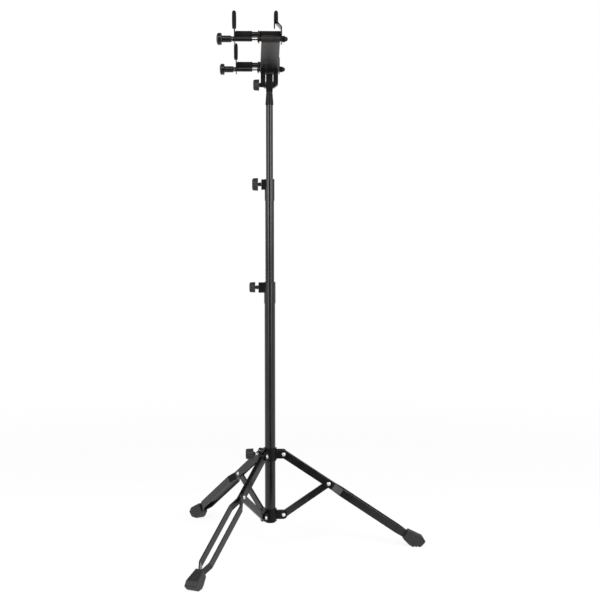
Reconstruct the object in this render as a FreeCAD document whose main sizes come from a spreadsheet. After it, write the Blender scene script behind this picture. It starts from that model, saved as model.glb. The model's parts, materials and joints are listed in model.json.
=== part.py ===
import FreeCAD, Part
import math
import os
from FreeCAD import Placement, Rotation, Vector

doc = FreeCAD.newDocument("guitar_stand")
sheet = doc.addObject("Spreadsheet::Sheet", "sizes")

# Every independent size of the stand in mm, heights measured up from the floor.
sizeList = (
    ("lower_tube_dia", "27"),
    ("mid_tube_dia", "22.4"),
    ("upper_tube_dia", "17.4"),
    ("tube_wall", "1.5"),
    ("slide_gap", "0.1"),
    ("turn_gap", "0.05"),
    ("tube_below", "0.7"),
    ("lower_clutch_foot", "632"),
    ("upper_clutch_foot", "890"),
    ("clutch_height", "54"),
    ("clutch_grip", "30"),
    ("clutch_wall", "1.1"),
    ("clutch_lip", "5"),
    ("bush_height", "17"),
    ("bush_gap", "0.5"),
    ("boss_height", "27"),
    ("boss_width", "17"),
    ("boss_corner", "3"),
    ("boss_set", "1"),
    ("lower_boss_reach", "14"),
    ("upper_boss_reach", "8.5"),
    ("knob_stand", "8"),
    ("mid_tube_foot", "430"),
    ("upper_tube_foot", "715"),
    ("guide_height", "24"),
    ("plug_height", "16"),
    ("plug_flange", "3"),
    ("plug_edge", "1"),
    ("leg_slope_deg", "34.3"),
    ("strut_length", "140"),
    ("pivot_reach", "34"),
    ("leg_turn_deg", "1.8"),
    ("toe_height", "17.1"),
    ("collar_height", "32"),
    ("collar_wall", "3.2"),
    ("ear_height", "22"),
    ("ear_beyond", "9.5"),
    ("ear_root", "2.5"),
    ("ear_flat", "0.5"),
    ("cheek", "3"),
    ("side_gap", "0.3"),
    ("bar_width", "20"),
    ("bar_thick", "3.2"),
    ("bar_edge", "1.1"),
    ("bar_end_flat", "0.3"),
    ("bar_spread", "12.3"),
    ("bar_toe", "3.2"),
    ("leg_length", "407"),
    ("spread_clear", "14"),
    ("spread_run", "24"),
    ("toe_clear", "3"),
    ("toe_run", "22"),
    ("strut_width", "17.6"),
    ("strut_thick", "5"),
    ("rivet_dia", "5"),
    ("rivet_head", "10"),
    ("rivet_dome", "2.5"),
    ("foot_width", "34"),
    ("foot_neck_width", "17.5"),
    ("foot_round", "3.5"),
    ("boot_cover", "27"),
    ("boot_back_rise", "4.6"),
    ("boot_front_run", "14"),
    ("boot_front_rise", "9.6"),
    ("boot_nose_run", "26"),
    ("boot_nose_rise", "4"),
    ("boot_chin_run", "24"),
    ("boot_chin_drop", "11.2"),
    ("boot_heel_drop", "2.5"),
    ("boot_ankle_run", "6"),
    ("boot_ankle_drop", "7"),
    ("sole_set", "14.5"),
    ("boot_trim", "2"),
    ("tread_depth", "2"),
    ("tread_land", "4.4"),
    ("tread_gap", "3"),
    ("screw_dia", "6"),
    ("screw_point", "1"),
    ("screw_tip_gap", "0.4"),
    ("lock_tip_gap", "0.5"),
    ("shank_inside", "9"),
    ("neck_gap", "0.4"),
    ("neck_wall", "1"),
    ("neck_flare", "2.2"),
    ("lock_neck_length", "5"),
    ("lock_neck_flare", "4"),
    ("lock_reach", "17"),
    ("lock_boss_dia", "16"),
    ("knob_length", "15"),
    ("knob_edge", "0.8"),
    ("knob_crown", "3"),
    ("flute_out", "3.6"),
    ("flute_radius", "5"),
    ("lower_knob_dia", "26.5"),
    ("upper_knob_dia", "32"),
    ("tilt_knob_dia", "28"),
    ("lock_knob_dia", "28"),
    ("lock_knob_length", "20"),
    ("lock_stand", "12"),
    ("post_foot", "1127"),
    ("post_socket", "17"),
    ("post_skirt_dia", "20"),
    ("skirt_rim", "2"),
    ("post_neck_dia", "15"),
    ("cone_drop", "13"),
    ("neck_drop", "8"),
    ("tilt_rise", "49"),
    ("tongue_thick", "16.6"),
    ("tongue_radius", "10"),
    ("tongue_reach", "28"),
    ("tongue_drop", "16"),
    ("tongue_chamfer", "3"),
    ("tongue_chamfer_rise", "7"),
    ("pivot_boss_dia", "17"),
    ("pivot_boss", "1.2"),
    ("tilt_rest_deg", "9.6"),
    ("yoke_width", "43"),
    ("yoke_depth", "24"),
    ("yoke_front", "20"),
    ("yoke_front_height", "8"),
    ("yoke_drop", "7.5"),
    ("yoke_tip_wall", "1.5"),
    ("yoke_cheek_rise", "2"),
    ("yoke_lap", "1"),
    ("yoke_corner_rise", "4"),
    ("yoke_corner_run", "6"),
    ("yoke_bridge", "4"),
    ("knob_boss_dia", "11.4"),
    ("knob_boss", "3.4"),
    ("bolt_blind", "2"),
    ("bolt_end", "6"),
    ("arm_width", "45.8"),
    ("arm_tip_width", "42.5"),
    ("arm_sheet", "3"),
    ("arm_mouth_deg", "40"),
    ("arm_screw_set", "16"),
    ("arm_screw_side", "13"),
    ("arm_screw_dia", "4"),
    ("arm_screw_head", "7.6"),
    ("arm_screw_rim", "1.4"),
    ("arm_screw_face", "5.2"),
    ("arm_screw_shoulder", "2.4"),
    ("arm_screw_crown", "2.6"),
    ("rod_height", "42"),
    ("far_rod", "10"),
    ("rod_spacing", "280"),
    ("clamp_tube_dia", "11.6"),
    ("bead_lead", "3"),
    ("bead_run", "1.5"),
    ("bead_rise", "1.6"),
    ("slide_rod_dia", "7.9"),
    ("rod_gap", "1"),
    ("rod_short", "12"),
    ("rod_edge", "0.8"),
    ("rest_back", "12"),
    ("rest_up", "14"),
    ("rest_tube_dia", "14"),
    ("rest_rod_dia", "12.4"),
    ("rest_foam_dia", "16.2"),
    ("rest_end_wall", "3"),
    ("slide_rest_end", "8"),
    ("end_gap", "0.5"),
    ("hook_width", "30"),
    ("hook_sheet", "3"),
    ("hook_set", "1"),
    ("sliding_bend_drop", "8"),
    ("fixed_pad_x", "12.6"),
    ("sliding_hook_x", "-82"),
    ("sliding_pad_x", "-83"),
    ("hook_tail", "7.8"),
    ("hook_bend_low", "27"),
    ("hook_bend_high", "41"),
    ("hook_top", "61"),
    ("pad_thick", "10"),
    ("pad_width", "33"),
    ("pad_foot", "29"),
    ("pad_top", "64.5"),
    ("pad_skin", "3"),
    ("pad_flat", "1.4"),
    ("link_x", "-27"),
    ("link_below", "9"),
    ("link_edge", "1"),
    ("link_foot", "5"),
    ("link_face", "6"),
    ("link_corner", "5"),
    ("slide_tube_end", "-42"),
    ("handle_disc_dia", "27.6"),
    ("handle_disc", "12.4"),
    ("handle_dia", "15.4"),
    ("handle_length", "35.6"),
    ("handle_set", "6"),
    ("handle_face", "0.6"),
    ("handle_shoulder", "2.5"),
    ("handle_shoulder_edge", "1.2"),
    ("handle_crown", "4"),
    ("handle_edge", "1.5"),
    ("handle_nose_run", "3"),
    ("handle_nose", "2"),
    ("handle_end_wall", "13"),
    ("cap_across", "13"),
    ("cap_length", "13"),
    ("cap_lap", "1"),
    ("cap_dome_set", "0.3"),
    ("cap_crown", "2"),
)
for rowNumber, (sizeName, sizeText) in enumerate(sizeList, start=1):
    sheet.set("A%d" % rowNumber, sizeName)
    sheet.set("B%d" % rowNumber, sizeText)
    sheet.setAlias("B%d" % rowNumber, sizeName)
doc.recompute()


def size(name):
    return float(sheet.get(name))


# a cut runs this far past the surface it opens, in mm
cutOver = 1
# the arm's side cuts run this far past its tip and its edges, in mm
trimOver = 5
# edges are picked by their corners, to within this distance in mm
pickGap = 0.01


# Shared shapes of the construction tree

def new_body(label):
    body = doc.addObject("PartDesign::Body", label)
    body.Label = label
    return body


def new_sketch(body, role, name, offset=0.0, turn=0.0):
    # offset runs along the plane's normal and turn swings the plane about the pole axis
    sketch = body.newObject("Sketcher::SketchObject", name)
    plane = [item for item in body.Origin.OriginFeatures if item.Role == role][0]
    sketch.AttachmentSupport = (plane, [""])
    sketch.MapMode = "FlatFace"
    sketch.AttachmentOffset = Placement(Vector(0, 0, offset), Rotation(Vector(0, 1, 0), turn))
    return sketch


def draw_outline(sketch, points):
    corners = [Vector(u, v, 0) for u, v in points]
    for start, end in zip(corners, corners[1:] + corners[:1]):
        sketch.addGeometry(Part.LineSegment(start, end))


def draw_circle(sketch, u, v, radius):
    sketch.addGeometry(Part.Circle(Vector(u, v, 0), Vector(0, 0, 1), radius))


def draw_arc(sketch, u, v, radius, first, last):
    circle = Part.Circle(Vector(u, v, 0), Vector(0, 0, 1), radius)
    sketch.addGeometry(Part.ArcOfCircle(circle, math.radians(first), math.radians(last)))


def add_pad(body, sketch, name, length, both=True, back=False, bound=None):
    pad = body.newObject("PartDesign::Pad", name)
    pad.Profile = sketch
    pad.Length = length
    pad.SideType = "Symmetric" if both else "One side"
    pad.Reversed = back
    if bound:
        pad.setExpression("Length", "sizes." + bound)
    return pad


def add_cut(body, sketch, name, length=None, both=True, back=False):
    cut = body.newObject("PartDesign::Pocket", name)
    cut.Profile = sketch
    cut.SideType = "Symmetric" if both else "One side"
    cut.Reversed = back
    if length is None:
        cut.Type = "ThroughAll"
    else:
        cut.Length = length
    return cut


def add_turn(body, sketch, name, axis, cutting=False):
    kind = "PartDesign::Groove" if cutting else "PartDesign::Revolution"
    turn = body.newObject(kind, name)
    turn.Profile = sketch
    turn.ReferenceAxis = (sketch, [axis])
    turn.Angle = 360
    return turn


def turned(label, points, axis="V_Axis"):
    # a solid of revolution about the body's Z axis, or about X with H_Axis
    body = new_body(label)
    sketch = new_sketch(body, "XZ_Plane", label + "_profile")
    draw_outline(sketch, points)
    add_turn(body, sketch, label + "_turn", axis)
    return body


def round_edges(body, feature, name, radius, picks):
    doc.recompute()
    names = []
    for index, edge in enumerate(feature.Shape.Edges, start=1):
        if picks(edge):
            names.append("Edge%d" % index)
    fillet = body.newObject("PartDesign::Fillet", name)
    fillet.Base = (feature, names)
    fillet.Radius = radius
    return fillet


def spin(angle):
    return Placement(Vector(0, 0, 0), Rotation(Vector(0, 0, 1), angle))


def lay(position, turns):
    # turns is a list of (axis, angle) applied in order, then the move to position
    rotation = Rotation()
    for axis, angle in turns:
        rotation = Rotation(axis, angle).multiply(rotation)
    return Placement(position, rotation)


axisX = Vector(1, 0, 0)
axisY = Vector(0, 1, 0)
axisZ = Vector(0, 0, 1)
nodes = []


def keep(item, placement=None):
    if placement is not None:
        item.Placement = placement
    nodes.append(item)
    return item


def keep_group(label, items):
    group = doc.addObject("Part::Compound", label)
    group.Label = label
    group.Links = items
    nodes.append(group)
    return group


# Derived heights of the pole and the leg linkage
lowerRadius = size("lower_tube_dia") / 2
midRadius = size("mid_tube_dia") / 2
upperRadius = size("upper_tube_dia") / 2
slopeAngle = math.radians(size("leg_slope_deg"))
strutRise = size("strut_length") * math.sin(slopeAngle)
strutRun = size("strut_length") * math.cos(slopeAngle)
collarPivot = size("toe_height") + size("leg_length") * math.sin(slopeAngle)
midPivot = collarPivot - strutRise
basePivot = midPivot - strutRise
lowerTubeFoot = basePivot - size("collar_height") / 2 - size("tube_below")
tiltHeight = size("post_foot") + size("tilt_rise")
spreadStart = size("strut_length") + size("spread_clear")
toeStart = size("leg_length") - size("boot_cover") - size("toe_clear") - size("toe_run")
midReach = size("pivot_reach") + strutRun
barInner = size("strut_thick") / 2 + size("side_gap")
legTurn = size("leg_turn_deg")
legNames = (("right", legTurn), ("rear", legTurn + 120), ("front", legTurn + 240))
lowerScrewHeight = size("lower_clutch_foot") + size("clutch_height") - size("boss_height") / 2
upperScrewHeight = size("upper_clutch_foot") + size("clutch_height") - size("boss_height") / 2
legScrewHeight = collarPivot


# Pole tubes with their plugs and guides

def make_tube(label, radius, foot, top):
    inner = radius - size("tube_wall")
    return turned(label, ((inner, foot), (radius, foot), (radius, top), (inner, top)))


def make_plug():
    foot = lowerTubeFoot
    top = foot + size("plug_height")
    low = foot - size("plug_flange")
    edge = size("plug_edge")
    inner = lowerRadius - size("tube_wall")
    points = ((0, low), (lowerRadius - edge, low), (lowerRadius, low + edge), (lowerRadius, foot),
              (inner, foot), (inner, top - edge), (inner - edge, top), (0, top))
    return turned("tube_plug", points)


def make_guide(label, tubeRadius, outerRadius, foot):
    # plastic sleeve that steadies the lower end of a telescoping tube
    bore = tubeRadius + size("turn_gap")
    outer = outerRadius - size("tube_wall") - size("slide_gap")
    top = foot + size("guide_height")
    return turned(label, ((bore, foot), (outer, foot), (outer, top), (bore, top)))


# Telescoping clutches

def make_clutch(label, foot, tubeRadius, innerRadius, reach):
    body = new_body(label)
    outer = tubeRadius + size("clutch_wall")
    top = foot + size("clutch_height")
    sleeve = new_sketch(body, "XY_Plane", label + "_round", foot)
    draw_circle(sleeve, 0, 0, outer)
    add_pad(body, sleeve, label + "_sleeve", size("clutch_height"), both=False, bound="clutch_height")
    boss = new_sketch(body, "YZ_Plane", label + "_boss_outline")
    half = size("boss_width") / 2
    low = top - size("boss_height")
    high = top - size("boss_set")
    corner = size("boss_corner")
    draw_outline(boss, ((-half, low + corner), (corner - half, low), (half - corner, low),
                        (half, low + corner), (half, high - corner), (half - corner, high),
                        (corner - half, high), (-half, high - corner)))
    add_pad(body, boss, label + "_boss", outer + reach, both=False, back=True)
    bore = new_sketch(body, "XZ_Plane", label + "_bore_profile")
    lip = top - size("clutch_lip")
    lipRadius = innerRadius + size("side_gap")
    draw_outline(bore, ((0, foot), (tubeRadius, foot), (tubeRadius, lip), (lipRadius, lip),
                        (lipRadius, top), (0, top)))
    add_turn(body, bore, label + "_bore", "V_Axis", cutting=True)
    hole = new_sketch(body, "YZ_Plane", label + "_screw_outline")
    draw_circle(hole, 0, top - size("boss_height") / 2, size("screw_dia") / 2 + size("turn_gap"))
    add_cut(body, hole, label + "_screw_hole", outer + reach + cutOver, both=False)
    return body


def make_bush(label, foot, tubeRadius, innerRadius):
    low = foot + size("clutch_grip") + size("bush_gap")
    top = low + size("bush_height")
    bore = innerRadius + size("slide_gap")
    return turned(label, ((bore, low), (tubeRadius, low), (tubeRadius, top), (bore, top)))


# Knobs with their moulded-in screws, drawn along Z and laid towards the left

screwRadius = size("screw_dia") / 2
shankInside = size("shank_inside")
# necks under the knobs as length, radius at the knob and radius at the far end
clutchNeck = (size("knob_stand") - size("neck_gap"), screwRadius + size("neck_wall"),
              screwRadius + size("neck_flare"))
lockNeck = (size("lock_neck_length"), screwRadius + size("lock_neck_flare"), screwRadius + size("neck_wall"))
# radii of a knob's rounded front as shares of the knob's radius
knobShoulderShare = 0.95
knobRimShare = 0.82
knobFaceShare = 0.5
fluteCount = 6


def make_knob(label, diameter, length, neck):
    # drum with a flat back, a slightly smaller rounded front and a short neck over its screw
    radius = diameter / 2
    edge = size("knob_edge")
    points = [(radius * knobFaceShare, length), (0, length), (0, shankInside), (screwRadius, shankInside)]
    if neck:
        run, root, tip = neck
        points += [(screwRadius, -run), (tip, -run), (root, 0)]
    else:
        points += [(screwRadius, 0)]
    points += [(radius - edge, 0), (radius, edge), (radius * knobShoulderShare, length - size("knob_crown")),
               (radius * knobRimShare, length - edge)]
    body = turned(label, points)
    flutes = new_sketch(body, "XY_Plane", label + "_flute_outline")
    fluteReach = radius + size("flute_out")
    for step in range(fluteCount):
        angle = math.radians(360 / fluteCount * (step + 0.5))
        draw_circle(flutes, fluteReach * math.cos(angle), fluteReach * math.sin(angle), size("flute_radius"))
    add_cut(body, flutes, label + "_flutes")
    return body


def make_screw(label, length):
    point = size("screw_point")
    points = ((0, -length), (screwRadius - point, -length), (screwRadius, point - length),
              (screwRadius, shankInside), (0, shankInside))
    return turned(label, points)


def place_knob(prefix, diameter, tipReach, backReach, height, length, neck):
    # tipReach is the screw tip's distance from the pole axis and backReach the knob's back face
    knob = make_knob(prefix + "_knob", diameter, length, neck)
    screw = make_screw(prefix + "_screw", backReach - tipReach)
    spot = lay(Vector(-backReach, 0, height), ((axisY, -90),))
    keep(knob, spot)
    keep(screw, spot)


# Folding tripod

def make_collar(label, pivotHeight, bore, gapHalf, lock):
    body = new_body(label)
    hub = lowerRadius + size("collar_wall")
    foot = pivotHeight - size("collar_height") / 2
    ring = new_sketch(body, "XY_Plane", label + "_round", foot)
    draw_circle(ring, 0, 0, hub)
    add_pad(body, ring, label + "_hub", size("collar_height"), both=False, bound="collar_height")
    root = hub - size("ear_root")
    reach = size("pivot_reach") + size("ear_beyond")
    ears = new_sketch(body, "XY_Plane", label + "_ear_outline", pivotHeight)
    for _, angle in legNames:
        along = Vector(math.cos(math.radians(angle)), math.sin(math.radians(angle)), 0)
        across = Vector(-along.y, along.x, 0)
        for side in (-1, 1):
            near = side * gapHalf
            far = side * (gapHalf + size("cheek"))
            corners = []
            for run, offset in ((root, near), (reach, near), (reach, far), (root, far)):
                spot = along * run + across * offset
                corners.append((spot.x, spot.y))
            draw_outline(ears, corners)
    earPad = add_pad(body, ears, label + "_ears", size("ear_height"), bound="ear_height")

    def ear_tip(edge):
        ends = [vertex.Point for vertex in edge.Vertexes]
        if len(ends) != 2 or abs(ends[0].z - ends[1].z) > pickGap:
            return False
        if abs(ends[0].distanceToPoint(ends[1]) - size("cheek")) > pickGap:
            return False
        return min(math.hypot(spot.x, spot.y) for spot in ends) > reach - pickGap

    round_edges(body, earPad, label + "_ear_round", size("ear_height") / 2 - size("ear_flat"), ear_tip)
    if lock:
        boss = new_sketch(body, "YZ_Plane", label + "_boss_outline")
        draw_circle(boss, 0, legScrewHeight, size("lock_boss_dia") / 2)
        add_pad(body, boss, label + "_boss", lowerRadius + size("lock_reach"), both=False, back=True)
    centre = new_sketch(body, "XY_Plane", label + "_bore_outline")
    draw_circle(centre, 0, 0, bore)
    add_cut(body, centre, label + "_bore")
    for name, angle in legNames:
        hole = new_sketch(body, "XZ_Plane", label + "_" + name + "_hole_outline", turn=angle)
        draw_circle(hole, size("pivot_reach"), pivotHeight, size("rivet_dia") / 2)
        add_cut(body, hole, label + "_" + name + "_hole", 2 * (gapHalf + size("cheek") + cutOver))
    if lock:
        thread = new_sketch(body, "YZ_Plane", label + "_screw_outline")
        draw_circle(thread, 0, legScrewHeight, size("screw_dia") / 2 + size("turn_gap"))
        add_cut(body, thread, label + "_screw_hole", lowerRadius + size("lock_reach") + cutOver, both=False)
    return body


# the curve of a rivet's head from its rim inwards, as shares of its radius and of its dome's height
rivetCurve = ((1, 0.3), (0.8, 0.75), (0.4, 1))


def make_rivet(label, grip):
    # a shank through the grip with a domed head at each end
    shank = size("rivet_dia") / 2
    head = size("rivet_head") / 2
    dome = size("rivet_dome")
    half = grip / 2
    upper = [(shank, half), (head, half)]
    upper += [(head * across, half + dome * rise) for across, rise in rivetCurve]
    upper += [(0, half + dome)]
    lower = [(radius, -height) for radius, height in reversed(upper)]
    return turned(label, lower + upper)


def place_rivet(body, angle, reach, height):
    body.Placement = spin(angle).multiply(lay(Vector(reach, 0, height), ((axisX, 90),)))
    return body


def make_leg_bar(label, side):
    body = new_body(label)
    thick = size("bar_thick")
    path = ((-size("bar_width") / 2, barInner), (spreadStart, barInner),
            (spreadStart + size("spread_run"), size("bar_spread")),
            (toeStart, size("bar_spread")),
            (toeStart + size("toe_run"), size("bar_toe")), (size("leg_length"), size("bar_toe")))
    outline = [(run, side * offset) for run, offset in path]
    outline += [(run, side * (offset + thick)) for run, offset in reversed(path)]
    sketch = new_sketch(body, "XY_Plane", label + "_path")
    draw_outline(sketch, outline)
    strip = add_pad(body, sketch, label + "_strip", size("bar_width"), bound="bar_width")

    def top_end(edge):
        ends = [vertex.Point for vertex in edge.Vertexes]
        if len(ends) != 2 or abs(ends[0].z - ends[1].z) > pickGap:
            return False
        return max(spot.x for spot in ends) < pickGap - size("bar_width") / 2

    def long_edge(edge):
        ends = [vertex.Point for vertex in edge.Vertexes]
        if len(ends) != 2 or abs(ends[0].x - ends[1].x) < pickGap:
            return False
        return all(abs(abs(spot.z) - size("bar_width") / 2) < pickGap for spot in ends)

    endRadius = size("bar_width") / 2 - size("bar_end_flat")
    rounded = round_edges(body, strip, label + "_round", endRadius, top_end)
    round_edges(body, rounded, label + "_edge_round", size("bar_edge"), long_edge)
    holes = new_sketch(body, "XZ_Plane", label + "_hole_outline")
    draw_circle(holes, 0, 0, size("rivet_dia") / 2 + size("turn_gap"))
    draw_circle(holes, size("strut_length"), 0, size("rivet_dia") / 2)
    add_cut(body, holes, label + "_holes")
    return body


def make_strut(label):
    body = new_body(label)
    length = size("strut_length")
    radius = size("strut_width") / 2
    sketch = new_sketch(body, "XZ_Plane", label + "_outline")
    sketch.addGeometry(Part.LineSegment(Vector(0, radius, 0), Vector(length, radius, 0)))
    draw_arc(sketch, length, 0, radius, -90, 90)
    sketch.addGeometry(Part.LineSegment(Vector(length, -radius, 0), Vector(0, -radius, 0)))
    draw_arc(sketch, 0, 0, radius, 90, 270)
    draw_circle(sketch, 0, 0, size("rivet_dia") / 2 + size("turn_gap"))
    draw_circle(sketch, length, 0, size("rivet_dia") / 2 + size("turn_gap"))
    add_pad(body, sketch, label + "_bar", size("strut_thick"), bound="strut_thick")
    return body


def leg_spot(run, rise):
    # a point measured along the leg from its upper pivot and square to it, as reach and height
    reach = size("pivot_reach") + run * math.cos(slopeAngle) + rise * math.sin(slopeAngle)
    height = collarPivot - run * math.sin(slopeAngle) + rise * math.cos(slopeAngle)
    return reach, height


def make_foot(label):
    # rubber boot over the toe of a leg, flat underneath with cross grooves
    body = new_body(label)
    toe = size("leg_length")
    wide = size("bar_width") / 2
    start = toe - size("boot_cover")
    back = leg_spot(start, wide + size("boot_back_rise"))
    front = leg_spot(toe + size("boot_front_run"), wide + size("boot_front_rise"))
    nose = leg_spot(toe + size("boot_nose_run"), wide + size("boot_nose_rise"))
    chin = leg_spot(toe + size("boot_chin_run"), wide - size("boot_chin_drop"))
    heel = leg_spot(start, -wide - size("boot_heel_drop"))
    ankle = leg_spot(toe - size("boot_ankle_run"), -wide - size("boot_ankle_drop"))
    land = size("tread_land")
    gap = size("tread_gap")
    depth = size("tread_depth")
    edge = nose[0] - size("sole_set")
    points = [back, front, nose, chin]
    for step in range(2):
        points += [(edge, 0), (edge - land, 0), (edge - land, depth), (edge - land - gap, depth)]
        edge = edge - land - gap
    points += [(edge, 0), (edge - land, 0), ankle, heel]
    sketch = new_sketch(body, "XZ_Plane", label + "_profile")
    draw_outline(sketch, points)
    add_pad(body, sketch, label + "_block", size("foot_width"), bound="foot_width")
    half = size("foot_width") / 2
    neckHalf = size("foot_neck_width") / 2
    tail = heel[0] - size("boot_trim")
    tip = nose[0] + size("boot_trim")
    outside = half + size("boot_trim")
    taper = new_sketch(body, "XY_Plane", label + "_taper_outline")
    for side in (-1, 1):
        draw_outline(taper, ((tail, side * neckHalf), (tip, side * half), (tip, side * outside),
                             (tail, side * outside)))
    tapered = add_cut(body, taper, label + "_taper")

    def side_edge(edge):
        # every upper edge from the mouth to the nose, along the flanks and across
        ends = [vertex.Point for vertex in edge.Vertexes]
        flank = [neckHalf + (half - neckHalf) * (spot.x - tail) / (tip - tail) for spot in ends]
        onSide = all(abs(abs(spot.y) - reach) < pickGap for spot, reach in zip(ends, flank))
        atMouth = abs(abs(ends[0].z - ends[-1].z) - abs(back[1] - heel[1])) < pickGap
        return onSide and not atMouth and all(spot.z > nose[1] - pickGap for spot in ends)

    round_edges(body, tapered, label + "_round", size("foot_round"), side_edge)
    for side in (-1, 1):
        middle = side * (size("bar_toe") + size("bar_thick") / 2)
        slot = new_sketch(body, "XZ_Plane", label + ("_slot_a" if side < 0 else "_slot_b"), middle)
        inlet = start - size("boot_cover")
        corners = (leg_spot(inlet, -wide), leg_spot(toe, -wide), leg_spot(toe, wide), leg_spot(inlet, wide))
        draw_outline(slot, corners)
        add_cut(body, slot, label + ("_cut_a" if side < 0 else "_cut_b"), size("bar_thick"))
    return body


# Tilting head

tiltSpot = lay(Vector(0, 0, tiltHeight), ((axisX, -size("tilt_rest_deg")),))


def in_head(position, turns=()):
    return tiltSpot.multiply(lay(position, turns))


def make_post():
    label = "tilt_post"
    foot = size("post_foot")
    skirt = size("post_skirt_dia") / 2
    neck = size("post_neck_dia") / 2
    socketTop = foot + size("post_socket")
    pivot = tiltHeight
    neckTop = pivot - size("neck_drop")
    body = turned(label, ((upperRadius, foot), (skirt, foot), (skirt, foot + size("skirt_rim")),
                          (neck, pivot - size("cone_drop")), (neck, neckTop), (0, neckTop), (0, socketTop),
                          (upperRadius, socketTop)))
    radius = size("tongue_radius")
    reach = size("tongue_reach")
    shoulder = pivot + math.sqrt(reach ** 2 - radius ** 2)
    low = pivot - size("tongue_drop")
    inset = radius - size("tongue_chamfer")
    bevel = low + size("tongue_chamfer_rise")
    sketch = new_sketch(body, "YZ_Plane", label + "_tongue_outline")
    corners = ((radius, shoulder), (radius, bevel), (inset, low), (-inset, low), (-radius, bevel),
               (-radius, shoulder))
    for begin, finish in zip(corners, corners[1:]):
        sketch.addGeometry(Part.LineSegment(Vector(begin[0], begin[1], 0), Vector(finish[0], finish[1], 0)))
    crown = math.degrees(math.asin(radius / reach))
    draw_arc(sketch, 0, pivot, reach, 90 - crown, 90 + crown)
    add_pad(body, sketch, label + "_tongue", size("tongue_thick"), bound="tongue_thick")
    boss = new_sketch(body, "YZ_Plane", label + "_boss_outline")
    draw_circle(boss, 0, pivot, size("pivot_boss_dia") / 2)
    add_pad(body, boss, label + "_boss", size("tongue_thick") + 2 * size("pivot_boss"))
    hole = new_sketch(body, "YZ_Plane", label + "_hole_outline")
    draw_circle(hole, 0, pivot, size("screw_dia") / 2 + size("turn_gap"))
    add_cut(body, hole, label + "_hole", size("tongue_thick") + 2 * (size("pivot_boss") + cutOver))
    return body


def make_yoke():
    label = "tilt_yoke"
    body = new_body(label)
    half = size("yoke_width") / 2
    slot = size("tongue_thick") / 2 + size("pivot_boss") + size("side_gap")
    drop = size("yoke_drop")
    top = size("rod_height") - size("clamp_tube_dia") / 2 - size("arm_sheet")
    bridge = top - size("yoke_bridge")
    tip = slot + size("yoke_tip_wall")
    rise = size("yoke_cheek_rise")
    sketch = new_sketch(body, "XZ_Plane", label + "_fork")
    draw_outline(sketch, ((-half, rise), (-half, top), (half, top), (half, rise), (tip, -drop), (slot, -drop),
                          (slot, bridge), (-slot, bridge), (-slot, -drop), (-tip, -drop)))
    add_pad(body, sketch, label + "_block", size("yoke_depth"), bound="yoke_depth")
    deep = size("yoke_depth") / 2
    front = size("yoke_front")
    lap = size("yoke_lap") - deep
    gusset = ((lap, top), (-front, top), (-front, top - size("yoke_front_height")), (lap, rise))
    shelf = ((lap, top), (-front, top), (-front, bridge), (lap, bridge))
    blocks = (("_left_gusset", -half, half - slot, gusset), ("_shelf", -slot, 2 * slot, shelf),
              ("_right_gusset", slot, half - slot, gusset))
    for name, start, wide, outline in blocks:
        side = new_sketch(body, "YZ_Plane", label + name + "_outline", start)
        draw_outline(side, outline)
        add_pad(body, side, label + name, wide, both=False)
    corners = new_sketch(body, "YZ_Plane", label + "_corner_outline")
    below = -drop - cutOver
    outside = deep + cutOver
    inset = deep - size("yoke_corner_run")
    for side in (-1, 1):
        draw_outline(corners, ((side * outside, below), (side * outside, size("yoke_corner_rise")),
                               (side * inset, below)))
    add_cut(body, corners, label + "_corners")
    boss = new_sketch(body, "YZ_Plane", label + "_boss_outline", -slot)
    draw_circle(boss, 0, 0, size("knob_boss_dia") / 2)
    add_pad(body, boss, label + "_boss", half - slot + size("knob_boss"), both=False, back=True)
    hole = new_sketch(body, "YZ_Plane", label + "_hole_outline")
    draw_circle(hole, 0, 0, size("screw_dia") / 2 + size("turn_gap"))
    add_cut(body, hole, label + "_hole", 2 * (half - size("bolt_blind")))
    opening = new_sketch(body, "YZ_Plane", label + "_left_hole_outline")
    draw_circle(opening, 0, 0, size("screw_dia") / 2 + size("turn_gap"))
    add_cut(body, opening, label + "_left_hole", half + size("knob_boss") + cutOver, both=False)
    return body


armScrewBack = size("far_rod") - size("arm_screw_set")


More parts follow.
